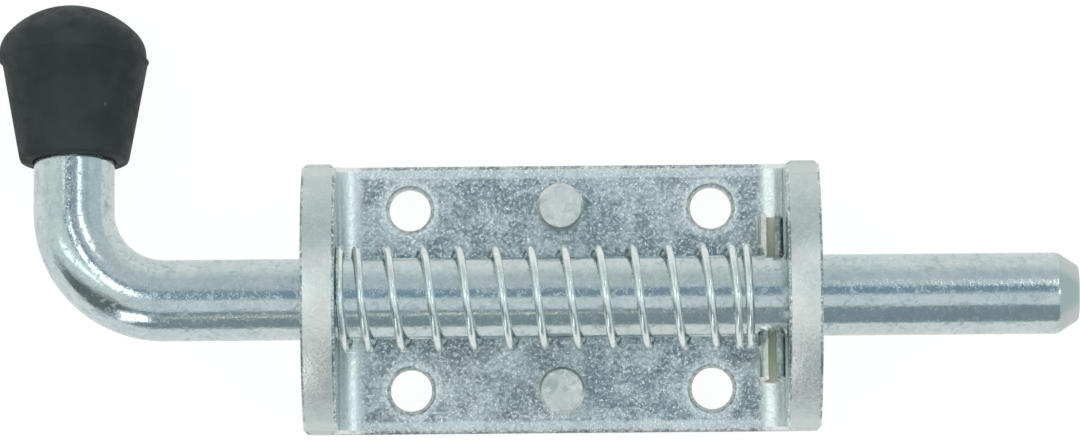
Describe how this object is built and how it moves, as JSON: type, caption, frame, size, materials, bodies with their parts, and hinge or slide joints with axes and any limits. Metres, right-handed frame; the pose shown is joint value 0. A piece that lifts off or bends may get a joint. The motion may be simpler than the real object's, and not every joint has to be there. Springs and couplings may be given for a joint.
{
  "type": "spring bolt",
  "caption": "Spring-loaded sliding bolt: a bent round rod with a cap knob runs through the ears of a folded screw-on bracket, pushed out by a compression spring.",
  "frame": {"origin": "centre of the bracket's flat back face, which is screwed to a door or gate", "axes": "+X along the rod towards the bolt's tip, +Y towards the handle, +Z off the mounting surface"},
  "size_m": [0.1592, 0.0642, 0.029],
  "materials": {
    "plated_bracket": "blue-white zinc plate on rolled steel, finely speckled",
    "plated_stud": "blue-white zinc plate on a smooth turned face",
    "plated_rod": "blue-white zinc plate on drawn steel",
    "plated_pin": "zinc-plated spring steel",
    "spring_wire": "bright zinc-plated spring wire",
    "black_rubber": "matt black moulded rubber"
  },
  "bodies": {
    "bracket": {"bracket": "plated_bracket", "handle_side_stud": "plated_stud", "far_side_stud": "plated_stud"},
    "spring": {"spring": "spring_wire"},
    "bolt": {"bolt": "plated_rod", "knob": "black_rubber", "spring_pin": "plated_pin"}
  },
  "joints": [
    {"name": "bolt_slide", "type": "slide", "parent": "bracket", "child": "spring", "axis": [-1, 0, 0], "range_m": [0, 0.04], "stiffness_N_per_m": 540, "springref_m": -0.018, "deforming": ["spring"]},
    {"name": "bolt_turn", "type": "hinge", "parent": "spring", "child": "bolt", "pos_m": [0, 0, 0.0178], "axis": [1, 0, 0], "range_deg": [-47, 67]}
  ]
}
